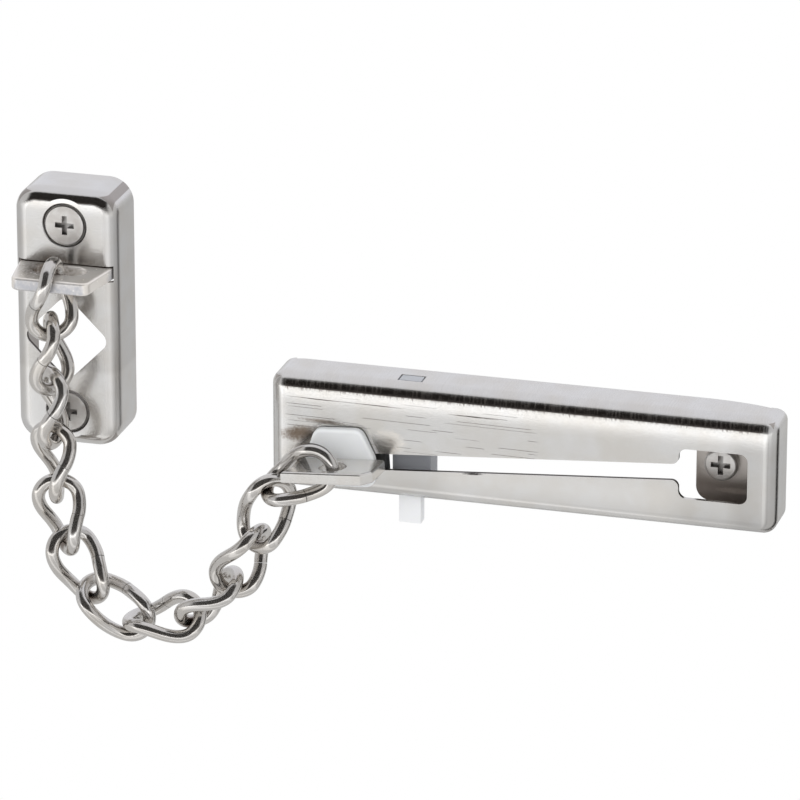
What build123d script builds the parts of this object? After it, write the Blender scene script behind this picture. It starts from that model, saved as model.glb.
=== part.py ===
"""Door chain: a rail with a sliding chain end, a keeper plate and twelve twisted links.

Millimetres.  X runs along the rail, Y goes into the door, Z is up.
The origin is the rail's screw in the entry window, on the door face.
Door and frame are shut, so rail and keeper plate stand on one plane.
"""
from math import cos, pi, radians, sin, sqrt, tan, tanh
import os

from build123d import *

# sheet metal
sheet = 1.0                      # both pressings
bend_radius = 3.0                # outside of the bends

# rail
rail_length = 115.0
rail_height = 27.0
rail_depth = 10.5                # front face to door
rail_corner_radius = 3.2         # corners seen from the front
rail_screw_to_end = 14.1
rail_middle_above_screw = 0.7
flange_cut_left = (6.0, 5.0)     # rounded-off back corners, along X and Y
flange_cut_right = (20.0, 5.0)
foot_length = 20.0               # flange turned in behind each end wall
foot_height = 20.0
foot_corner_radius = 3.2

# slot and entry window
slot_width = 3.8
slot_rise_deg = 4.0              # climbs towards the window
slot_above_screw = 0.8
window_width = 15.4
window_height = 11.6
window_corner_radius = 1.8
slot_mouth_radius = 1.6          # soft corners where the slot meets the window
access_hole_diameter = 9.4       # for the driver, behind the guard

# slider
slider_hole_from_rail_end = 16.7
slider_plate_thickness = 2.7
slider_reach = 12.2              # in front of the rail
slider_width = 20.5
slider_hole_diameter = 6.0
slider_hole_to_side = 8.6        # hole middle to the side the link goes round
slider_hole_from_rail = 7.3      # in front of the rail
slider_corner = 2.2
slider_draw = 2.0                # how far its left side slants out towards the front
slider_flare = 0.6               # and how far its right side widens towards the rail
head_corner_radius = 2.0
guard_corner_radius = 2.4
neck_width = 11.6
head_reach_left = 4.3            # from the middle of the link's hole, towards the keeper
head_reach_right = 9.8           # the head shows in the slot on this side
head_height = 9.6
head_thickness = 2.6
tenon_width = 6.0
guard_thickness = 2.0
guard_width = 16.0
guard_top_width = 10.6
guard_rise = 8.0                 # above the slot line
guard_drop = 5.4                 # below the slot line
running_gap = 0.35               # slider to rail, each face

# lock slide
lock_from_rail_end = 31.4
lock_end_width = 5.0
lock_end_depth = 3.0
lock_body_width = 8.8
lock_travel = 7.0
lock_gap = 0.35
lock_pad_height = 2.2            # solid lip under the passage

# keeper
keeper_width = 24.0
keeper_height = 60.0
keeper_depth = 12.8
keeper_corner_radius = 5.6
keeper_from_rail_end = 46.6      # middle of the keeper to the rail's end
keeper_above_screw = 22.8
keeper_screw_spacing = 43.8
keeper_window_half = 10.3        # square hole on its corner, middle to sharp corner
keeper_window_radius = 2.4
keeper_window_drop = 4.6         # below the keeper's middle
tab_above_keeper_middle = 12.8   # top face of the tab
tab_thickness = 3.0
tab_base_width = 21.4
tab_tip_width = 17.6
tab_reach = 11.6                 # in front of the keeper
tab_hole_width = 12.0
tab_hole_depth = 5.4
tab_strip = 5.2                  # steel between hole and tip
slit_gap = 0.35

# screws
pan_head_diameter = 7.6
pan_head_height = 2.2
pan_screw_diameter = 4.0
pan_screw_length = 20.0
sunk_head_diameter = 8.8
sunk_head_height = 2.4
sunk_screw_diameter = 4.2
sunk_screw_length = 30.0
screw_hole_gap = 0.6
dimple_diameter = 10.4
recess_depth = 1.3
recess_width = 1.2
recess_span = 4.4
point_length = 3.0

# chain
link_count = 12
wire = 3.0
link_inner_width = 6.4
first_link_lift = 1.0            # its bend rides on the corners of the tab's strip
link_pitch = 12.8                # from one contact to the next
link_play = 0.93                  # between wires at a contact
butt_gap = 0.12                  # where the bent wire's ends meet
first_roll_deg = 90.0            # first link stands across the keeper's tab
last_roll_deg = 0.0              # last link lies in the slider's hole
link_twist_deg = 60.0            # between the two ends of a link
plain_share = 0.5               # share of each bend that isn't twisted
loose_link_turns = 1             # half turns the links roll through on each side
right_turns = 1
last_lean_deg = 30.0             # last link, resting over the slider's edge
left_leg_deg = -92.0             # hang of the two legs of the loop
right_leg_deg = 76.0
loose_link = 7                   # the contact after this link has extra play
loose_play_x = 0.35
loose_play_z = -0.75

rail_right = rail_screw_to_end
rail_left = rail_right - rail_length
rail_middle_z = rail_middle_above_screw
slot_slope = tan(radians(slot_rise_deg))


def slot_z(x):
    return slot_above_screw + slot_slope * x


def box(x0, x1, y0, y1, z0, z1):
    return Pos((x0 + x1) / 2, (y0 + y1) / 2, (z0 + z1) / 2) * Box(abs(x1 - x0), abs(y1 - y0), abs(z1 - z0))


def front_plane(y):
    """Sketch plane seen from the front: sketch x is X, sketch y is Z, it grows towards -Y."""
    return Plane(origin=(0, y, 0), x_dir=(1, 0, 0), z_dir=(0, -1, 0))


def pressing(x0, x1, z0, z1, depth, corner):
    """Shallow pan: open towards the door, rounded corners, rounded front edges."""
    middle = Pos((x0 + x1) / 2, (z0 + z1) / 2)
    outer = extrude(front_plane(0) * (middle * RectangleRounded(x1 - x0, z1 - z0, corner)), depth)
    outer = fillet(outer.faces().sort_by(Axis.Y)[0].edges(), bend_radius)
    inner = extrude(front_plane(0) * (middle * RectangleRounded(
        x1 - x0 - 2 * sheet, z1 - z0 - 2 * sheet, corner - sheet)), depth - sheet)
    inner = fillet(inner.faces().sort_by(Axis.Y)[0].edges(), bend_radius - sheet)
    return outer - inner


def through(profile, y_from, y_to):
    """Prism of a front-view sketch between two depths, y_from being nearer the door."""
    return extrude(front_plane(y_from) * profile, y_from - y_to)


def pan_screw(x, z, face_y):
    """Pan head on a plate whose front is at face_y, shank into the door."""
    head = through(Pos(x, z) * Circle(pan_head_diameter / 2), face_y, face_y - pan_head_height)
    head = fillet(head.faces().sort_by(Axis.Y)[0].edges(), pan_head_height * 0.3)
    return head + shank(x, z, face_y, pan_screw_diameter, pan_screw_length) - recess(x, z, face_y - pan_head_height)


def shank(x, z, start_y, diameter, length):
    rod = through(Pos(x, z) * Circle(diameter / 2), start_y + length - point_length, start_y)
    tip = Pos(x, start_y + length - point_length / 2, z) * Rot(-90, 0, 0) * Cone(
        diameter / 2, diameter / 12, point_length)
    return rod + tip


def recess(x, z, y):
    arm = Rectangle(recess_span, recess_width) + Rectangle(recess_width, recess_span)
    return through(Pos(x, z) * arm, y + recess_depth, y - recess_depth)


def sunk_screw(x, z, face_y):
    """Countersunk screw, head flush with face_y."""
    head = Pos(x, face_y + sunk_head_height / 2, z) * Rot(-90, 0, 0) * Cone(
        sunk_head_diameter / 2, sunk_screw_diameter / 2, sunk_head_height)
    body = shank(x, z, face_y + sunk_head_height, sunk_screw_diameter, sunk_screw_length - sunk_head_height)
    return head + body - recess(x, z, face_y)


# rail housing
front_y = -rail_depth
housing = pressing(rail_left, rail_right, rail_middle_z - rail_height / 2, rail_middle_z + rail_height / 2,
                   rail_depth, rail_corner_radius)
for end_x, cut, side in ((rail_left, flange_cut_left, 1), (rail_right, flange_cut_right, -1)):
    cut_x, cut_y = cut
    corner_block = box(end_x + side * rail_corner_radius, end_x + side * cut_x, -cut_y, sheet,
                       rail_middle_z - rail_height, rail_middle_z + rail_height)
    rounding = Pos(end_x + side * cut_x, -cut_y, rail_middle_z) * extrude(Ellipse(cut_x, cut_y), rail_height, both=True)
    housing -= corner_block - rounding
    drop = cut_y * (1 - sqrt(1 - (1 - rail_corner_radius / cut_x) ** 2))
    for up in (1, -1):
        foot_edge = rail_middle_z + up * foot_height / 2
        wall_block = box(end_x - side * sheet, end_x + side * rail_corner_radius, -drop, sheet,
                         foot_edge, rail_middle_z + up * (rail_height / 2 + sheet))
        wall_rounding = Pos(end_x, -drop, foot_edge) * extrude(
            Plane.YZ * Ellipse(drop, (rail_height - foot_height) / 2), rail_height / 2, both=True)
        housing -= wall_block - wall_rounding
left_screw_x = rail_left + rail_screw_to_end
rail_screws_at = [(0.0, 0.0), (left_screw_x, slot_z(left_screw_x))]
for end_x, side in ((rail_left, 1), (rail_right, -1)):
    foot = Pos(end_x + side * (foot_length / 2), rail_middle_z) * RectangleRounded(
        foot_length, foot_height, foot_corner_radius)
    foot_plate = through(foot, 0, -sheet)
    root_strip = box(end_x + side * sheet * 0.5, end_x + side * foot_length / 2, -sheet, 0,
                     rail_middle_z - foot_height / 2, rail_middle_z + foot_height / 2)
    outside = box(end_x - side * foot_length, end_x + side * sheet * 0.5, -sheet * 2, sheet,
                  rail_middle_z - foot_height, rail_middle_z + foot_height)
    housing += foot_plate + root_strip - outside
for x, z in rail_screws_at:
    housing -= through(Pos(x, z) * Circle(pan_screw_diameter / 2 + screw_hole_gap), sheet, -sheet * 2)

# slot, window and driver hole in the front wall
slider_x = rail_left + slider_hole_from_rail_end
neck_left = slider_x - neck_width / 2
slot_left = neck_left - running_gap
slot_run = -slot_left / cos(radians(slot_rise_deg))
slot_profile = Pos(0, slot_above_screw) * Rot(0, 0, slot_rise_deg) * Pos(-slot_run / 2, 0) * Rectangle(
    slot_run, slot_width)
window_profile = RectangleRounded(window_width, window_height, window_corner_radius)
mouth = slot_profile + window_profile
mouth_corners = mouth.vertices().filter_by(lambda v: abs(v.X + window_width / 2) < 0.01 and abs(
    v.Y - slot_z(-window_width / 2)) < slot_width * 0.7)
mouth = fillet(mouth_corners, slot_mouth_radius)
access = Pos(*rail_screws_at[1]) * Circle(access_hole_diameter / 2)
openings = through(mouth, front_y + sheet * 2, front_y - sheet) + through(access, front_y + sheet * 2, front_y - sheet)
housing -= openings

# lock slide: bar through the top and bottom walls, with a passage for the slider's head
lock_x = rail_left + lock_from_rail_end
lock_y = -rail_depth * 0.55
inner_top = rail_middle_z + rail_height / 2 - sheet
inner_bottom = rail_middle_z - rail_height / 2 + sheet
housing -= box(lock_x - lock_end_width / 2 - lock_gap, lock_x + lock_end_width / 2 + lock_gap,
               lock_y - lock_end_depth / 2 - lock_gap, lock_y + lock_end_depth / 2 + lock_gap,
               inner_bottom - sheet * 2, inner_top + sheet * 2)
lock_bottom = inner_bottom + lock_gap
lock_top = inner_top - lock_travel - lock_gap
lock = box(lock_x - lock_body_width / 2, lock_x + lock_body_width / 2,
           front_y + sheet + lock_gap, -lock_gap, lock_bottom, lock_top)
lock = chamfer(lock.faces().sort_by(Axis.Y)[0].edges().filter_by(Axis.X), bend_radius - sheet)
lock += box(lock_x - lock_end_width / 2, lock_x + lock_end_width / 2,
            lock_y - lock_end_depth / 2, lock_y + lock_end_depth / 2,
            lock_bottom - sheet - lock_travel, lock_top + lock_travel + lock_gap + sheet)
head_back_y = front_y + sheet + running_gap + head_thickness
passage_low = slot_z(lock_x) - head_height / 2 - lock_pad_height * 0.4
passage_high = slot_z(lock_x) + head_height / 2 + lock_gap * 3
lock -= box(lock_x - lock_body_width, lock_x + lock_body_width, front_y, head_back_y + lock_gap * 2,
            passage_low, passage_high)

# slider: laid out with the slot line level, then turned on to the slope
slider_at = Pos(slider_x, 0, slot_z(slider_x)) * Rot(0, -slot_rise_deg, 0)
tip_y = front_y - slider_reach
half_t = slider_plate_thickness / 2
guard_back = front_y - running_gap
head_front_y = front_y + sheet + running_gap
side_x = -slider_hole_to_side
far_x = slider_width - slider_hole_to_side - slider_draw
outline = Polyline((side_x - slider_draw, tip_y), (far_x - slider_corner, tip_y), (far_x, tip_y + slider_corner),
                   (far_x + slider_flare, guard_back - guard_thickness), (neck_width / 2, guard_back - guard_thickness),
                   (neck_width / 2, head_front_y), (tenon_width / 2, head_front_y),
                   (tenon_width / 2, head_front_y + head_thickness), (-tenon_width / 2, head_front_y + head_thickness),
                   (-tenon_width / 2, head_front_y), (-neck_width / 2, head_front_y),
                   (-neck_width / 2, guard_back - guard_thickness), (side_x, guard_back - guard_thickness),
                   (side_x, tip_y + slider_reach * 0.45), close=True)
plate = extrude(make_face(outline), half_t, both=True)
plate -= Pos(0, front_y - slider_hole_from_rail, 0) * Cylinder(slider_hole_diameter / 2, slider_plate_thickness * 2)
front_edges = plate.edges().filter_by(lambda e: e.center().Y < guard_back - guard_thickness - 0.1 and abs(
    abs(e.center().Z) - half_t) < 0.01)
slider_plate = slider_at * fillet(front_edges, 0.5)
guard_half = guard_width / 2
guard_face = make_face(Polyline((-guard_half, -guard_drop), (guard_half, -guard_drop), (guard_half, half_t),
                                (guard_top_width / 2, guard_rise), (-guard_top_width / 2, guard_rise),
                                (-guard_half, half_t), close=True))
guard_face = fillet(guard_face.vertices(), guard_corner_radius)
guard = through(guard_face, guard_back, guard_back - guard_thickness)
guard = fillet(guard.faces().sort_by(Axis.Y)[0].edges(), 0.7)
guard -= box(-neck_width / 2, neck_width / 2, guard_back - guard_thickness * 2, guard_back + sheet, -half_t, half_t)
slider_guard = slider_at * guard
head = Pos((head_reach_right - head_reach_left) / 2, 0) * RectangleRounded(
    head_reach_left + head_reach_right, head_height, head_corner_radius)
head = through(head, head_front_y + head_thickness, head_front_y)
head -= box(-tenon_width / 2, tenon_width / 2, head_front_y - sheet, head_front_y + head_thickness * 2, -half_t, half_t)
slider_head = slider_at * head

# keeper cover
keeper_x = rail_left - keeper_from_rail_end
keeper_z = keeper_above_screw
keeper_y = -keeper_depth
cover = pressing(keeper_x - keeper_width / 2, keeper_x + keeper_width / 2, keeper_z - keeper_height / 2,
                 keeper_z + keeper_height / 2, keeper_depth, keeper_corner_radius)
diamond = Pos(keeper_x, keeper_z - keeper_window_drop) * Rot(0, 0, 45) * RectangleRounded(
    keeper_window_half * sqrt(2), keeper_window_half * sqrt(2), keeper_window_radius)
cover -= through(diamond, keeper_y + sheet * 2, keeper_y - sheet)
screw_slack = screw_hole_gap + sunk_screw_diameter / 2
keeper_screws_at = [(keeper_x, keeper_z + side * keeper_screw_spacing / 2) for side in (1, -1)]
dimple_depth = sunk_head_height + screw_hole_gap
for x, z in keeper_screws_at:
    shape = Pos(x, keeper_y + dimple_depth / 2, z) * Rot(-90, 0, 0)
    cover += shape * Cone(dimple_diameter / 2 + sheet, screw_slack + sheet, dimple_depth)
    cover -= shape * Cone(dimple_diameter / 2, screw_slack, dimple_depth)
    cover -= through(Pos(x, z) * Circle(screw_slack), keeper_y + dimple_depth * 2, keeper_y - sheet)
tab_top = keeper_z + tab_above_keeper_middle
tab_low = tab_top - tab_thickness
cover -= box(keeper_x - tab_base_width / 2 - slit_gap, keeper_x + tab_base_width / 2 + slit_gap,
             keeper_y - sheet, keeper_y + sheet * 2, tab_low - slit_gap, tab_top + slit_gap)

# keeper bracket: upright leg on the door frame, tab out through the slit
tab_tip_y = keeper_y - tab_reach
leg_width = keeper_width - 2 * sheet - 2 * slit_gap
tab_outline = Polyline((keeper_x - leg_width / 2, 0), (keeper_x - tab_base_width / 2, keeper_y),
                       (keeper_x - tab_tip_width / 2, tab_tip_y), (keeper_x + tab_tip_width / 2, tab_tip_y),
                       (keeper_x + tab_base_width / 2, keeper_y), (keeper_x + leg_width / 2, 0), close=True)
tab = Pos(0, 0, tab_low) * extrude(make_face(tab_outline), tab_thickness)
tip_corners = tab.edges().filter_by(Axis.Z).filter_by(lambda e: e.center().Y < tab_tip_y + 0.1)
tab = fillet(tip_corners, 2.0)
hole_y = tab_tip_y + tab_strip + tab_hole_depth / 2
tab -= Pos(keeper_x, hole_y, tab_top) * Box(tab_hole_width - tab_hole_depth, tab_hole_depth, tab_thickness * 4)
for side in (-1, 1):
    tab -= Pos(keeper_x + side * (tab_hole_width - tab_hole_depth) / 2, hole_y, tab_top) * Cylinder(
        tab_hole_depth / 2, tab_thickness * 4)
tip_edges = tab.edges().filter_by(lambda e: e.center().Y < keeper_y - sheet and abs(
    abs(e.center().Z - tab_top + tab_thickness / 2) - tab_thickness / 2) < 0.01)
tab = fillet(tip_edges, 0.6)
leg_top = keeper_z + keeper_height / 2 - sheet - slit_gap - keeper_corner_radius
leg = box(keeper_x - leg_width / 2, keeper_x + leg_width / 2, -tab_thickness, 0, tab_low, leg_top)
bracket = tab + leg - through(Pos(*keeper_screws_at[0]) * Circle(screw_slack), tab_thickness, -tab_thickness * 2)


def smooth(t):
    t = min(max(t, 0.0), 1.0)
    return t * t * (3 - 2 * t)


def link_solid():
    """One wire link along X, its ends butted, its two bends rolled apart by the twist."""
    half = (link_pitch + link_play + wire) / 2
    bend = (link_inner_width + wire) / 2
    straight = half - bend
    knots = 9                    # the spline's points round each bend
    outline = []
    for end in (1, -1):
        outline.append((0.0, -end * bend))
        for i in range(knots):
            a = -pi / 2 + pi * i / (knots - 1)
            outline.append((end * (straight + bend * cos(a)), end * bend * sin(a)))
    points = []
    for x, across in outline:
        roll = radians(link_twist_deg) * (0.5 - smooth((x + half - bend * plain_share) / (2 * (half - bend * plain_share))))
        points.append((x, across * sin(roll), across * cos(roll)))
    path = Spline(*points, periodic=True)
    wire_path = path.trim(0, 1 - butt_gap / path.length)
    start = Plane(origin=wire_path @ 0, z_dir=wire_path % 0)
    return sweep(start * Circle(wire / 2), path=wire_path)


def loop_angles(span, rise, count, pitch):
    """Slopes of the links in a round-bottomed loop between two points, by Newton steps."""
    left, right = radians(left_leg_deg), radians(right_leg_deg)
    step = 1e-6

    def miss(bottom, spread):
        angles = [(left + right) / 2 + (right - left) / 2 * tanh((i - bottom) / spread) for i in range(count)]
        return pitch * sum(cos(a) for a in angles) - span, pitch * sum(sin(a) for a in angles) - rise, angles

    bottom, spread = count * 0.6, count * 0.2
    for _ in range(100):
        ex, ez, angles = miss(bottom, spread)
        if abs(ex) + abs(ez) < 1e-9:
            break
        bx, bz, _b = miss(bottom + step, spread)
        sx, sz, _s = miss(bottom, spread + step)
        across_b, up_b, across_s, up_s = (bx - ex) / step, (bz - ez) / step, (sx - ex) / step, (sz - ez) / step
        det = across_b * up_s - across_s * up_b
        move_b = (ez * across_s - ex * up_s) / det
        move_s = (ex * up_b - ez * across_b) / det
        tame = min(1.0, 0.5 / max(abs(move_b), abs(move_s), 1e-9))
        bottom += tame * move_b
        spread += tame * move_s
    return angles


# the chain's two ends: over the tab's top face, and in the slider's hole
first_end = (keeper_x, tab_tip_y + tab_strip / 2, tab_top + first_link_lift)
bend = (link_inner_width + wire) / 2
lean = radians(last_lean_deg)
hole_z = slot_z(slider_x)
apex_x = slider_x - bend + bend * cos(lean)
apex_z = hole_z + bend * sin(lean)
reach_in = (wire + link_play) / 2
last_end = (apex_x - reach_in * cos(lean), front_y - slider_hole_from_rail, apex_z - reach_in * sin(lean))
side_step = (last_end[1] - first_end[1]) / link_count
flat_pitch = sqrt(link_pitch ** 2 - side_step ** 2)
span = last_end[0] - flat_pitch * cos(lean) - first_end[0] + loose_play_x
rise = last_end[2] - flat_pitch * sin(lean) - first_end[2] + loose_play_z
angles = loop_angles(span, rise, link_count - 1, flat_pitch) + [lean]

# contacts, counted from the keeper up to the loose one and from the slider back to it
starts = [None] * link_count
point = first_end
for k in range(loose_link):
    starts[k] = point
    point = (point[0] + flat_pitch * cos(angles[k]), point[1] + side_step, point[2] + flat_pitch * sin(angles[k]))
point = last_end
for k in reversed(range(loose_link, link_count)):
    point = (point[0] - flat_pitch * cos(angles[k]), point[1] - side_step, point[2] - flat_pitch * sin(angles[k]))
    starts[k] = point

# neighbours cross at right angles at the loose contact, nearly so elsewhere
one_link = link_solid()
half_twist = link_twist_deg / 2
loose_roll_deg = last_roll_deg + loose_link_turns * 180
step_left = (loose_roll_deg + half_twist - (first_roll_deg - half_twist)) / (loose_link - 1)
step_right = (last_roll_deg + half_twist + right_turns * 180 - (first_roll_deg - half_twist)) / (
    link_count - loose_link - 1)
links = []
for k in range(link_count):
    along = Vector(flat_pitch * cos(angles[k]), side_step, flat_pitch * sin(angles[k])).normalized()
    flat = Vector(-sin(angles[k]), 0, cos(angles[k]))
    middle = Vector(*starts[k]) + along * (link_pitch / 2)
    if k < loose_link:
        roll = first_roll_deg - half_twist + step_left * k
    else:
        roll = last_roll_deg + half_twist - step_right * (link_count - 1 - k)
    frame = Plane(origin=middle, x_dir=along, z_dir=flat)
    links.append(frame.location * Rot(-roll, 0, 0) * one_link)

# write one file a piece
screws = [pan_screw(x, z, -sheet) for x, z in rail_screws_at]
nodes = {
    "rail_housing": housing,
    "rail_screw_window": screws[0],
    "rail_screw_hidden": screws[1],
    "lock_slide": lock,
    "slider_plate": slider_plate,
    "slider_guard": slider_guard,
    "slider_head": slider_head,
    "keeper_cover": cover,
    "keeper_bracket": bracket,
    "keeper_screw_top": sunk_screw(*keeper_screws_at[0], keeper_y),
    "keeper_screw_bottom": sunk_screw(*keeper_screws_at[1], keeper_y),
}
for k, link in enumerate(links):
    nodes[f"link_{k + 1:02d}"] = link
os.makedirs("parts", exist_ok=True)
for name, shape in nodes.items():
    export_step(shape, f"parts/{name}.step")
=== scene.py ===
import math

import bpy
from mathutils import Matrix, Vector


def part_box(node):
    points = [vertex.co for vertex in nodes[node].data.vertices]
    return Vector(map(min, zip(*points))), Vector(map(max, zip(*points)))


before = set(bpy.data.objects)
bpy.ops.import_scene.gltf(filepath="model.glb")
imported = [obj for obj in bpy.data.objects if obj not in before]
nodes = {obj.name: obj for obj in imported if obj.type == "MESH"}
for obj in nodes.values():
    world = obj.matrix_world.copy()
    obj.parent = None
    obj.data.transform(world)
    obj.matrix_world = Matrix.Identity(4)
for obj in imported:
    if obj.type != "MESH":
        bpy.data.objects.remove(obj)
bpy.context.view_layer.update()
MM = 0.001

# camera, placed where the photograph was taken from: degrees, metres, and millimetres for its lens and sensor
AIM = Vector((-77.4, 0.0, 7.1)) * MM
AZIMUTH = 16.08
ELEVATION = 20.24
DISTANCE = 1.3916
SENSOR = 36.0
LENS = 281.8
SHIFT_X = 0.0190
SHIFT_Y = -0.0047

# studio, in metres
FLOOR_HALF = 30.0
FLOOR_HEIGHT = -0.16
FLOOR_REACH = 3.0
KEY_PLACE = (-0.6, -1.0, 0.7)
KEY_SIZE = 0.6
KEY_POWER = 2.0

# colours used more than once
WHITE = (1.0, 1.0, 1.0)
CEILING = (0.016, 0.0135, 0.012)
# painted light: brown for painted shade, cream for a painted highlight, grey for a painted reflection on
# edges
SHADE_BROWN = (0.20, 0.155, 0.12)
HIGHLIGHT_CREAM = (0.97, 0.92, 0.85)
EDGE_REFLECTION_GREY = (0.50, 0.51, 0.55)

# both pressed covers
SHEET = 1.0 * MM
BEND = 3.0 * MM

# how near another surface the painted shade in corners starts, and how soft the edge of a mask is
NARROW = 1.6 * MM
SOFT = 0.05 * MM


def point(x, y, z):
    """A place or a size, given in millimetres."""
    return Vector((x, y, z)) * MM


class Shader:
    """A node tree, with short names for the nodes that all the materials use."""

    def __init__(self, tree):
        self.tree = tree

    def node(self, kind, *inputs, **settings):
        """One node. Inputs are given by name or number, as a value or as another node's output."""
        made = self.tree.nodes.new(kind)
        for key, value in settings.items():
            setattr(made, key, value)
        for key, value in inputs:
            if isinstance(value, bpy.types.NodeSocket):
                self.tree.links.new(value, made.inputs[key])
            else:
                made.inputs[key].default_value = value
        return made

    def math(self, operation, a, b=0.0, c=0.0):
        return self.node("ShaderNodeMath", (0, a), (1, b), (2, c), operation=operation).outputs[0]

    def times(self, a, b):
        return self.math("MULTIPLY", a, b)

    def plus(self, a, b):
        return self.math("ADD", a, b)

    def minus(self, a, b):
        return self.math("SUBTRACT", a, b)

    def times_plus(self, a, b, c):
        return self.math("MULTIPLY_ADD", a, b, c)

    def far_from(self, value, middle):
        """How far a value is from a middle, to either side."""
        return self.math("ABSOLUTE", self.minus(value, middle))

    def length(self, a, b):
        return self.math("SQRT", self.times_plus(a, a, self.times(b, b)))

    def band(self, value, low, high):
        """0 at low and before it, 1 at high and past it, smooth between."""
        return self.node("ShaderNodeMapRange", ("Value", value), ("From Min", low), ("From Max", high),
                         interpolation_type="SMOOTHSTEP").outputs[0]

    def lerp(self, share, first, second):
        return self.node("ShaderNodeMapRange", ("Value", share), ("To Min", first),
                         ("To Max", second)).outputs[0]

    def ramp(self, value, *stops):
        """Colour ramp. Each stop is a place and a colour or a grey."""
        made = self.node("ShaderNodeValToRGB", (0, value))
        bar = made.color_ramp.elements
        while len(bar) < len(stops):
            bar.new(0.5)
        for element, (place, colour) in zip(bar, stops):
            rgb = colour if isinstance(colour, tuple) else (colour, colour, colour)
            element.position = place
            element.color = (*rgb, 1.0)
        return made.outputs[0]

    def mix(self, share, first, second):
        """Colour mix. Either colour may be a plain tuple."""
        a, b = ((*c, 1.0) if isinstance(c, tuple) else c for c in (first, second))
        return self.node("ShaderNodeMix", (0, share), (6, a), (7, b), data_type="RGBA").outputs[2]

    def glow(self, kind, colour, strength):
        """A background or an emission."""
        colour = (*colour, 1.0) if isinstance(colour, tuple) else colour
        return self.node(kind, ("Color", colour), ("Strength", strength)).outputs[0]

    def choose(self, share, first, second):
        """Shader mix."""
        return self.node("ShaderNodeMixShader", (0, share), (1, first), (2, second)).outputs[0]


class Surface(Shader):
    """A material under way."""

    def __init__(self, name):
        self.material = bpy.data.materials.new(name)
        self.material.use_nodes = True
        super().__init__(self.material.node_tree)
        self.principled = self.tree.nodes["Principled BSDF"]
        self.at = self.node("ShaderNodeTexCoord").outputs["Object"]
        self.xyz = self.node("ShaderNodeSeparateXYZ", (0, self.at)).outputs
        self.x, self.y, self.z = self.xyz
        self.metallic = 0.0

    def noise(self, scale, detail, roughness=0.5, at=None):
        at = self.at if at is None else at
        return self.node("ShaderNodeTexNoise", ("Vector", at), ("Scale", scale), ("Detail", detail),
                         ("Roughness", roughness)).outputs["Fac"]

    def inside(self, low, high, soft=SOFT):
        """1 within a box, 0 outside it. None leaves a side open."""
        mask = 1.0
        for value, start, end in zip(self.xyz, low, high):
            if start is not None:
                mask = self.times(self.band(value, start, start + soft), mask)
            if end is not None:
                mask = self.times(self.band(value, end, end - soft), mask)
        return mask

    def finish(self):
        bump = self.node("ShaderNodeBump", ("Height", self.height), ("Strength", 1.0), ("Distance", 1.0))
        self.tree.links.new(self.tone, self.principled.inputs["Base Color"])
        self.tree.links.new(self.rough, self.principled.inputs["Roughness"])
        self.tree.links.new(bump.outputs[0], self.principled.inputs["Normal"])
        if isinstance(self.metallic, float):
            self.principled.inputs["Metallic"].default_value = self.metallic
        else:
            self.tree.links.new(self.metallic, self.principled.inputs["Metallic"])
        return self.material


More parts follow.
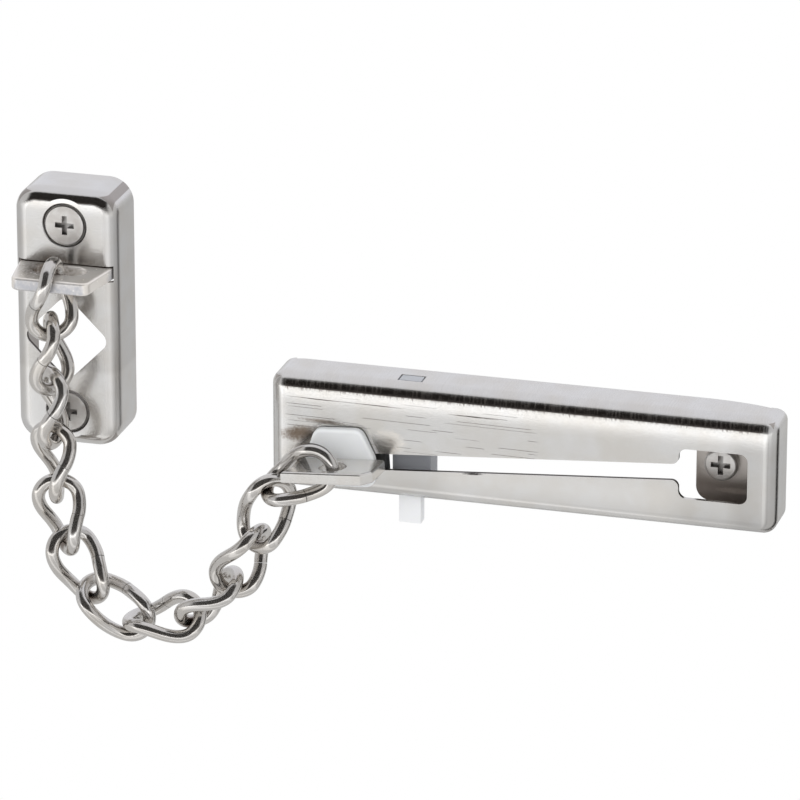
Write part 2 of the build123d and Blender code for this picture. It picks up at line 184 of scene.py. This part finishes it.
class Nickel(Surface):
    """Bright nickel plate, cloudy in tone and fine in grain. Its methods add what one piece shows."""

    def __init__(self, name, colour=(0.735, 0.727, 0.716), roughness=0.19, grain=2600.0,
                 grain_depth=0.012 * MM, metallic=1.0):
        super().__init__(name)
        warmth = (0.95, 0.93, 0.90)
        warm = tuple(c * k for c, k in zip(colour, warmth))
        self.clouds = self.noise(140.0, 3.0)
        self.speck = self.noise(grain, 4.0, 0.6)
        self.tone = self.ramp(self.clouds, (0.35, warm), (0.65, colour))
        self.rough = self.node("ShaderNodeMapRange", ("Value", self.speck), ("From Min", 0.3),
                               ("From Max", 0.7), ("To Min", roughness * 0.82),
                               ("To Max", roughness * 1.25)).outputs[0]
        self.height = self.times(self.speck, grain_depth)
        self.metallic = metallic

    def crown(self, low, high, reach, drop, side_rough, top_rough):
        """Let the front fall by drop over the last reach before each bend, and give the bends a roughness."""
        sides = ((self.x, low.x + BEND, high.x - BEND, side_rough),
                 (self.z, low.z + BEND, high.z - BEND, top_rough))
        for value, first, last, bend_rough in sides:
            bent = 0.0
            for edge, sign in ((first, -1.0), (last, 1.0)):
                # 0 where the fall starts, 1 at the bend and more round it
                out = self.times_plus(value, sign / reach, 1.0 - sign * edge / reach)
                out = self.math("MAXIMUM", out, 0.0)
                bent = self.math("MAXIMUM", bent, out)
                self.height = self.minus(self.height, self.times(self.math("POWER", out, 3.0), drop))
            self.rough = self.lerp(self.band(bent, 0.9, 1.08), self.rough, bend_rough)

    def draw_marks(self, low, high, slope):
        """Thin dashes, left by drawing the sheet, in uneven rows within a part of the front."""
        pitch = 0.82 * MM
        # a line's half width as a share of the pitch, at its foot and at its core
        foot, core = 0.075, 0.03
        dashes_per_metre = 70.0
        # the noise above which a row is marked, which makes dashes of it
        bare, marked = 0.53, 0.56
        # keeps the noise of one row apart from the next
        row_offset = 7.31
        depth = 0.05 * MM
        fade = 1.5 * MM
        row = self.times(self.minus(self.z, self.times(self.x, slope)), 1.0 / pitch)
        number = self.math("FLOOR", row)
        chance = self.node("ShaderNodeTexWhiteNoise", ("W", number), noise_dimensions="1D").outputs["Value"]
        middle = self.times_plus(chance, 0.5, 0.25)
        line = self.band(self.far_from(self.math("FRACT", row), middle), foot, core)
        line = self.times(line, self.lerp(chance, 1.0, 0.35))
        spot = self.node("ShaderNodeCombineXYZ", (0, self.times(self.x, dashes_per_metre)),
                         (1, self.times(number, row_offset)))
        dash = self.noise(1.0, 0.0, at=spot.outputs[0])
        line = self.times(line, self.band(dash, bare, marked))
        for value, start, end in ((self.x, low.x, high.x), (self.z, low.z, high.z)):
            line = self.times(line, self.band(value, start - fade, start + fade))
            line = self.times(line, self.band(value, end + fade, end - fade))
        self.tone = self.mix(line, self.tone, (0.36, 0.33, 0.30))
        self.height = self.minus(self.height, self.times(line, depth))

    def paint_light_or_shade(self, low, high, soft, factor):
        """Paint light or shade: make a soft-edged patch lighter or darker."""
        scaled = self.node("ShaderNodeVectorMath", (0, self.tone), ("Scale", factor), operation="SCALE")
        self.tone = self.mix(self.inside(low, high, soft), self.tone, scaled.outputs[0])

    def paint_band_streaks(self, height, left, right):
        """Painted reflection: a brown border of fine upright hairs that frays the dark band reflected in the
        top bend, where the front runs up into it at this height.
        """
        hairs_per_metre = 2300.0
        lengths_per_metre = 260.0
        spread = 2.6 * MM
        border = 1.6 * MM
        border_fade = 0.6 * MM
        end_fade = 1.0 * MM
        brown_share = 0.75
        less_metal_share = 0.10
        fine = self.node("ShaderNodeCombineXYZ", (0, self.times(self.x, hairs_per_metre)),
                         (1, self.times(self.z, lengths_per_metre)))
        hair = self.noise(1.0, 2.0, at=fine.outputs[0])
        rise = self.plus(self.minus(self.z, height), self.times_plus(hair, spread, -spread / 2))
        here = self.band(rise, -0.55 * MM, 0.25 * MM)
        here = self.times(here, self.band(self.z, height + border, height + border - border_fade))
        here = self.times(here, self.band(self.x, left, left + end_fade))
        here = self.times(here, self.band(self.x, right, right - end_fade))
        self.tone = self.mix(self.times(here, brown_share), self.tone, (0.17, 0.135, 0.115))
        less_metal = self.times(self.band(hair, 0.47, 0.62), self.band(self.z, height - 0.4 * MM, height))
        self.metallic = self.times_plus(less_metal, -less_metal_share, self.metallic)

    def paint_corner_shade(self, distance):
        """Painted shade: darken narrow corners brown, as far as distance from the next surface."""
        openness = self.node("ShaderNodeAmbientOcclusion", ("Distance", distance), samples=12).outputs["AO"]
        self.tone = self.mix(self.band(openness, 0.72, 0.20), self.tone, (0.17, 0.13, 0.105))

    def paint_rim_highlight(self, centre, radius, front):
        """Painted highlight: a light, duller ring where a screw's dimple begins."""
        away = self.length(self.minus(self.x, centre.x), self.minus(self.z, centre.z))
        within = self.band(away, radius, radius - 0.1 * MM)
        here = self.times(within, self.band(self.y, front, front + 0.08 * MM))
        self.tone = self.mix(here, self.tone, (0.62, 0.60, 0.58))
        self.rough = self.lerp(here, self.rough, 0.36)
        self.metallic = self.minus(self.metallic, self.times(here, 0.55))

    def dull_inside(self, low, high, colour, roughness):
        """A darker, rougher colour on the inside of a pressing."""
        inset = SHEET - SOFT
        beyond_back = 0.1 * MM
        here = self.inside(low + Vector((inset, inset, inset)), high - Vector((inset, -beyond_back, inset)))
        self.tone = self.mix(here, self.tone, colour)
        self.rough = self.lerp(here, self.rough, roughness)

    def darken_edges(self, low, high):
        """Punched edges, which lie across the front, are made nearly black and rougher."""
        facing = self.node("ShaderNodeNewGeometry").outputs["True Normal"]
        facing_y = self.node("ShaderNodeSeparateXYZ", (0, facing)).outputs[1]
        edge = self.band(self.math("ABSOLUTE", facing_y), 0.5, 0.3)
        here = self.times(edge, self.inside(low, high))
        self.tone = self.mix(here, self.tone, (0.10, 0.088, 0.08))
        self.rough = self.lerp(here, self.rough, 0.5)

    def mark_or_painted_light(self, centre, half, colour, turn=0.0, strength=1.0):
        """A ragged patch of colour, used for marks and for painted light and shade: an ellipsoid with a
        centre and half sizes, turned about the y axis.
        """
        dx, dy, dz = (self.plus(value, -middle) for value, middle in zip(self.xyz, centre))
        cosine, sine = math.cos(turn), math.sin(turn)
        along = self.times_plus(dx, cosine / half.x, self.times(dz, sine / half.x))
        up = self.times_plus(dz, cosine / half.z, self.times(dx, -sine / half.z))
        across = self.times(dy, 1.0 / half.y)
        away = self.times_plus(along, along, self.times(up, up))
        away = self.times_plus(across, across, away)
        away = self.plus(away, self.times_plus(self.clouds, 1.2, self.times_plus(self.speck, 1.6, -0.8)))
        self.tone = self.mix(self.times(self.band(away, 1.9, 0.4), strength), self.tone, colour)


class Plastic(Surface):
    """Moulded plastic with a fine skin. milk is the share of light that goes below its surface."""

    def __init__(self, name, colour, milk):
        super().__init__(name)
        roughness = 0.42
        clouds = self.noise(220.0, 2.0)
        fine = self.noise(1900.0, 3.0)
        self.tone = self.ramp(clouds, (0.3, tuple(c * 0.96 for c in colour)), (0.7, colour))
        self.rough = self.lerp(fine, roughness * 0.85, roughness * 1.2)
        self.height = self.times(fine, 0.02 * MM)
        if milk:
            self.principled.inputs["Subsurface Weight"].default_value = milk
            self.principled.inputs["Subsurface Radius"].default_value = (1.0, 1.0, 1.1)
            self.principled.inputs["Subsurface Scale"].default_value = 1.5 * MM


def place_camera():
    data = bpy.data.cameras.new("camera")
    data.sensor_width = SENSOR
    data.lens = LENS
    data.shift_x = SHIFT_X
    data.shift_y = SHIFT_Y
    data.clip_start = 0.05
    data.clip_end = 2 * FLOOR_HALF
    camera = bpy.data.objects.new("camera", data)
    bpy.context.scene.collection.objects.link(camera)
    round_z, up = math.radians(AZIMUTH), math.radians(ELEVATION)
    towards = Vector((math.sin(round_z) * math.cos(up), -math.cos(round_z) * math.cos(up), math.sin(up)))
    camera.location = AIM + towards * DISTANCE
    camera.rotation_euler = (AIM - camera.location).to_track_quat("-Z", "Y").to_euler()
    bpy.context.scene.camera = camera
    bpy.context.scene.view_settings.view_transform = "Standard"


def studio_world():
    """White to the eye. Mirrors see a dark ceiling above the camera, which makes the bands on the bends."""
    world = bpy.data.worlds.new("studio")
    bpy.context.scene.world = world
    world.use_nodes = True
    world.node_tree.nodes.clear()
    sky = Shader(world.node_tree)
    way = sky.node("ShaderNodeSeparateXYZ", (0, sky.node("ShaderNodeTexCoord").outputs["Generated"]))
    # over is 0 at the horizon behind the part, 0.5 straight up and 1 at the horizon behind the camera
    over = sky.math("DIVIDE", sky.math("ARCTAN2", way.outputs[2], way.outputs[1]), math.pi)
    tone = sky.ramp(over, (0.0, (0.84, 0.845, 0.89)), (0.52, (0.80, 0.805, 0.845)),
                    (0.575, (0.74, 0.74, 0.76)), (0.612, CEILING), (0.925, CEILING),
                    (0.965, (0.06, 0.05, 0.045)), (1.0, (0.22, 0.215, 0.21)))
    aside = sky.math("ABSOLUTE", way.outputs[0])
    tone = sky.mix(sky.band(aside, 0.62, 0.80), tone, (0.62, 0.62, 0.63))
    mirrored = sky.glow("ShaderNodeBackground", tone, 1.0)
    plain = sky.glow("ShaderNodeBackground", WHITE, 1.0)
    path = sky.node("ShaderNodeLightPath").outputs
    sky.node("ShaderNodeOutputWorld", ("Surface", sky.choose(path["Is Glossy Ray"], plain, mirrored)))


def key_light():
    data = bpy.data.lights.new("key", "AREA")
    data.size = KEY_SIZE
    data.energy = KEY_POWER
    light = bpy.data.objects.new("key", data)
    bpy.context.scene.collection.objects.link(light)
    light.location = KEY_PLACE
    light.rotation_euler = (AIM - light.location).to_track_quat("-Z", "Y").to_euler()
    light.visible_glossy = False


def floor_white():
    """White to the eye. What mirrors see of it changes with the distance and the direction from the part."""
    floor = Surface("floor_white")
    floor.principled.inputs["Base Color"].default_value = (0.8, 0.8, 0.8, 1.0)
    floor.principled.inputs["Roughness"].default_value = 0.9
    # grey close by, white from half a metre to nearly two in front, then darker
    depth = floor.times(floor.y, -1.0 / FLOOR_REACH)
    tone = floor.ramp(depth, (0.0, 0.64), (0.05, 0.66), (0.10, 0.80), (0.146, 0.83), (0.157, 0.66),
                      (0.170, 0.68), (0.185, 1.0), (0.60, 1.0), (0.88, 0.50), (1.0, 0.26))
    # sectors of the floor, by their direction in radians
    round_about = floor.math("ARCTAN2", floor.y, floor.x)
    dark_sectors = ((-0.80, -0.62, 0.3), (0.50, 1.06, 1.0))
    for low, high, share in dark_sectors:
        half = (high - low) / 2
        off = floor.far_from(round_about, (low + high) / 2)
        tone = floor.mix(floor.times(floor.band(off, half, half * 0.6), share), tone, CEILING)
    near = floor.ramp(depth, (0.19, 1.0), (0.26, 0.0))
    power = floor.minus(1.6, floor.times(near, 0.6))
    bright_sectors = ((-2.42, 0.20, 0.12, 0.5), (-1.22, 0.34, 0.10, 0.28))
    for middle, wide, narrow, more in bright_sectors:
        off = floor.far_from(round_about, middle)
        power = floor.times_plus(floor.band(off, wide, narrow), more, power)
    mirrored = floor.glow("ShaderNodeEmission", tone, power)
    white = floor.glow("ShaderNodeEmission", WHITE, 1.0)
    path = floor.node("ShaderNodeLightPath").outputs
    seen = floor.math("MAXIMUM", path["Is Camera Ray"], path["Is Transmission Ray"])
    lit = floor.choose(path["Is Glossy Ray"], floor.principled.outputs[0], mirrored)
    output = floor.tree.nodes["Material Output"]
    floor.tree.links.new(floor.choose(seen, lit, white), output.inputs["Surface"])
    return floor.material


def stage_floor():
    mesh = bpy.data.meshes.new("floor")
    signs = ((-1, -1), (1, -1), (1, 1), (-1, 1))
    corners = [(x * FLOOR_HALF, y * FLOOR_HALF, FLOOR_HEIGHT) for x, y in signs]
    mesh.from_pydata(corners, [], [(0, 1, 2, 3)])
    mesh.materials.append(floor_white())
    floor = bpy.data.objects.new("floor", mesh)
    bpy.context.scene.collection.objects.link(floor)


def rail_nickel():
    """Places on the rail are measured from the window screw."""
    low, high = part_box("rail_housing")
    front = low.y
    skin = Nickel("rail_nickel")
    skin.crown(low, high, reach=6.5 * MM, drop=0.30 * MM, side_rough=0.22, top_rough=0.22)
    skin.draw_marks(point(-96.5, 0.0, -1.0), point(-40.0, 0.0, 8.8), slope=-0.012)
    # painted light below the slot, painted shade at the right end
    skin.paint_light_or_shade((-66.0 * MM, None, None), (-4.0 * MM, None, 2.0 * MM), soft=9.0 * MM, factor=1.16)
    skin.paint_light_or_shade((2.0 * MM, None, None), (None, None, 11.0 * MM), soft=5.0 * MM, factor=0.86)
    # painted reflection: brown streaks that fray the dark band in the top bend
    skin.paint_band_streaks(high.z - 2.9 * MM, low.x + BEND, high.x - BEND)
    skin.dull_inside(low, high, (0.50, 0.465, 0.435), 0.36)
    # the slot's edges, up to the window
    skin.darken_edges((-94.0 * MM, front + 0.1 * MM, -11.5 * MM), (-6.6 * MM, front + 1.1 * MM, 6.5 * MM))
    paint_rail_light_and_marks(skin, front)
    return skin.finish()


def paint_rail_light_and_marks(skin, front):
    """Painted light and shade about the guard and on the foot, and single marks on the rail."""
    guard_low, guard_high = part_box("slider_guard")
    guard_middle = (guard_low.x + guard_high.x) / 2

    def front_mark_or_painted_light(x, z, half_length, half_height, colour, turn=0.0, strength=1.0):
        half = Vector((half_length, 2.0 * MM, half_height))
        skin.mark_or_painted_light(Vector((x, front, z)), half, colour, turn, strength)

    # painted brown shade and dark reflection to the left of the guard and over it, a painted cream highlight
    # to its right
    front_mark_or_painted_light(guard_low.x - 2.0 * MM, 0.5 * MM, 4.8 * MM, 1.9 * MM, SHADE_BROWN, turn=0.15)
    front_mark_or_painted_light(guard_middle - 4.5 * MM, guard_high.z + 0.55 * MM, 6.4 * MM, 0.55 * MM, SHADE_BROWN,
           turn=-0.05, strength=0.8)
    front_mark_or_painted_light(guard_high.x + 3.2 * MM, 1.0 * MM, 3.8 * MM, 2.4 * MM, HIGHLIGHT_CREAM, turn=-0.3, strength=0.9)
    # a burr on the slot's lower edge
    front_mark_or_painted_light(-54.0 * MM, -5.05 * MM, 2.6 * MM, 0.30 * MM, (0.03, 0.025, 0.022), turn=0.07)
    # three draw marks that are longer than the rest
    front_mark_or_painted_light(-54.2 * MM, 8.3 * MM, 6.2 * MM, 0.15 * MM, (0.10, 0.085, 0.075), turn=-0.015)
    front_mark_or_painted_light(-75.3 * MM, 8.7 * MM, 5.4 * MM, 0.12 * MM, (0.16, 0.14, 0.13), turn=-0.015)
    front_mark_or_painted_light(-89.8 * MM, 8.8 * MM, 4.6 * MM, 0.12 * MM, (0.16, 0.14, 0.13), turn=-0.015)
    # painted light on the foot: a light streak below the window screw
    skin.mark_or_painted_light(point(4.6, -1.0, -6.5), point(6.5, 1.6, 0.8), (0.86, 0.80, 0.74), strength=0.8)


def keeper_nickel():
    low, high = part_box("keeper_cover")
    screws = [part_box(name) for name in ("keeper_screw_top", "keeper_screw_bottom")]
    centres = [(screw_low + screw_high) / 2 for screw_low, screw_high in screws]
    front = low.y
    skin = Nickel("keeper_nickel", colour=(0.735, 0.728, 0.72))
    skin.crown(low, high, reach=3.5 * MM, drop=0.06 * MM, side_rough=0.30, top_rough=0.15)
    # painted shade, a little darker over most of the front's height
    skin.paint_light_or_shade((None, None, 10.0 * MM), (None, None, 49.4 * MM), soft=1.6 * MM, factor=0.90)
    # painted highlights: a light ring where each screw's dimple begins
    for centre in centres:
        skin.paint_rim_highlight(centre, 4.85 * MM, front)
    skin.dull_inside(low, high, (0.42, 0.39, 0.37), 0.32)
    # the edges of the see-through hole
    side = 0.8 * MM
    skin.darken_edges((low.x + side, front + 0.1 * MM, 6.0 * MM), (high.x - side, front + 1.05 * MM, 30.0 * MM))
    # painted light on the dimples
    for centre in centres:
        middle = Vector((centre.x, front + 1.6 * MM, centre.z))
        skin.mark_or_painted_light(middle, point(5.4, 2.2, 5.4), (0.85, 0.83, 0.80), strength=0.9)
    return skin.finish()


def bracket_nickel():
    low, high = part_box("keeper_bracket")
    middle_x = (low.x + high.x) / 2
    middle_y = low.y + 6.4 * MM
    skin = Nickel("bracket_nickel", colour=(0.84, 0.81, 0.78), roughness=0.22, grain=1500.0,
                  grain_depth=0.0015 * MM, metallic=0.5)
    # painted light on the right half
    skin.paint_light_or_shade((middle_x + 1.5 * MM, None, None), (None, -12.0 * MM, None), soft=3.0 * MM, factor=1.1)
    # painted shade, brown, in narrow corners
    skin.paint_corner_shade(NARROW)
    # painted brown shade about the hole, a painted bluish grey reflection along the tab's right edge and its
    # tip
    hole = Vector((middle_x - 3.0 * MM, low.y + 7.4 * MM, low.z + 1.9 * MM))
    skin.mark_or_painted_light(hole, point(7.0, 6.0, 3.0), SHADE_BROWN)
    outside = 0.3 * MM
    edge_z = low.z + 0.9 * MM
    right_edge = Vector((high.x + outside, middle_y, edge_z))
    skin.mark_or_painted_light(right_edge, point(0.6, 20.0, 3.0), EDGE_REFLECTION_GREY, strength=0.9)
    tip_edge = Vector((middle_x, low.y - outside, edge_z))
    skin.mark_or_painted_light(tip_edge, point(60.0, 0.6, 3.0), EDGE_REFLECTION_GREY, strength=0.95)
    return skin.finish()


def slider_nickel():
    return Nickel("slider_nickel", colour=(0.77, 0.76, 0.745), roughness=0.20, grain=1500.0,
                  grain_depth=0.0015 * MM, metallic=0.8).finish()


def chain_nickel():
    skin = Nickel("chain_nickel", colour=(0.69, 0.672, 0.652), roughness=0.14, grain=1500.0,
                  grain_depth=0.002 * MM, metallic=0.95)
    # painted shade, brown, in the narrow corners between links
    skin.paint_corner_shade(NARROW)
    return skin.finish()


def screw_steel(node, head_height, curve):
    """Steel with painted shade in its recess, and a thread. The head falls by curve, per metre, times the
    radius squared.
    """
    low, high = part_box(node)
    thread_pitch = 1.6 * MM
    thread_height = 0.35 * MM
    grain_depth = 0.03 * MM
    recess_radius = 2.7 * MM
    skin = Surface(node + "_steel")
    x = skin.minus(skin.x, (low.x + high.x) / 2)
    y = skin.minus(skin.y, low.y)
    z = skin.minus(skin.z, (low.z + high.z) / 2)
    away = skin.length(x, z)
    speck = skin.noise(2100.0, 4.0, 0.65)
    clouds = skin.noise(420.0, 2.0)
    skin.tone = skin.ramp(clouds, (0.35, (0.58, 0.555, 0.53)), (0.65, (0.70, 0.685, 0.665)))
    # painted shade in the cross recess
    recess_shade = skin.band(away, recess_radius, recess_radius - 0.15 * MM)
    recess_shade = skin.times(recess_shade, skin.band(y, 0.15 * MM, 0.45 * MM))
    recess_shade = skin.times(recess_shade, skin.band(y, head_height, head_height - 0.2 * MM))
    shadow = skin.ramp(clouds, (0.40, (0.24, 0.225, 0.215)), (0.62, (0.42, 0.41, 0.40)))
    skin.tone = skin.mix(recess_shade, skin.tone, shadow)
    skin.rough = skin.lerp(speck, 0.24, 0.46)
    turn = skin.math("DIVIDE", skin.math("ARCTAN2", z, x), 2 * math.pi)
    along = skin.math("FRACT", skin.times_plus(y, 1.0 / thread_pitch, turn))
    thread = skin.band(skin.far_from(along, 0.5), 0.12, 0.0)
    shank = skin.band(y, head_height + 1.6 * MM, head_height + 2.4 * MM)
    skin.height = skin.times(skin.times(thread, shank), thread_height)
    skin.height = skin.times_plus(speck, grain_depth, skin.height)
    skin.height = skin.times_plus(skin.times(away, away), -curve, skin.height)
    skin.metallic = 0.8
    return skin.finish()


def guard_plastic():
    return Plastic("white_plastic", (0.86, 0.875, 0.885), milk=0.25).finish()


def lock_plastic():
    """Nearly white at the lower end, which stands out of the rail, and grey above it, where shade is painted
    on the part inside the rail.
    """
    rail_low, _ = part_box("rail_housing")
    wall_top = rail_low.z + SHEET
    skin = Plastic("lock_plastic", (0.955, 0.97, 0.99), milk=0.25)
    # painted shade on the part inside the rail
    within = skin.band(skin.z, wall_top, wall_top + 0.6 * MM)
    skin.tone = skin.mix(within, skin.tone, (0.44, 0.455, 0.49))
    return skin.finish()


def shaded_head():
    # near black: painted shade for the dark inside of the rail, seen through the slot
    return Plastic("shaded_head_black", (0.02, 0.02, 0.02), milk=0.0).finish()


def dress(material, *names):
    for name in names:
        mesh = nodes[name].data
        mesh.materials.clear()
        mesh.materials.append(material)


place_camera()
studio_world()
key_light()
stage_floor()

dress(rail_nickel(), "rail_housing")
dress(keeper_nickel(), "keeper_cover")
dress(bracket_nickel(), "keeper_bracket")
dress(slider_nickel(), "slider_plate")
dress(chain_nickel(), *[name for name in nodes if name.startswith("link_")])
for screw in ("rail_screw_window", "rail_screw_hidden"):
    dress(screw_steel(screw, head_height=2.2 * MM, curve=22.0), screw)
for screw in ("keeper_screw_top", "keeper_screw_bottom"):
    dress(screw_steel(screw, head_height=2.4 * MM, curve=10.0), screw)
dress(guard_plastic(), "slider_guard")
dress(lock_plastic(), "lock_slide")
dress(shaded_head(), "slider_head")
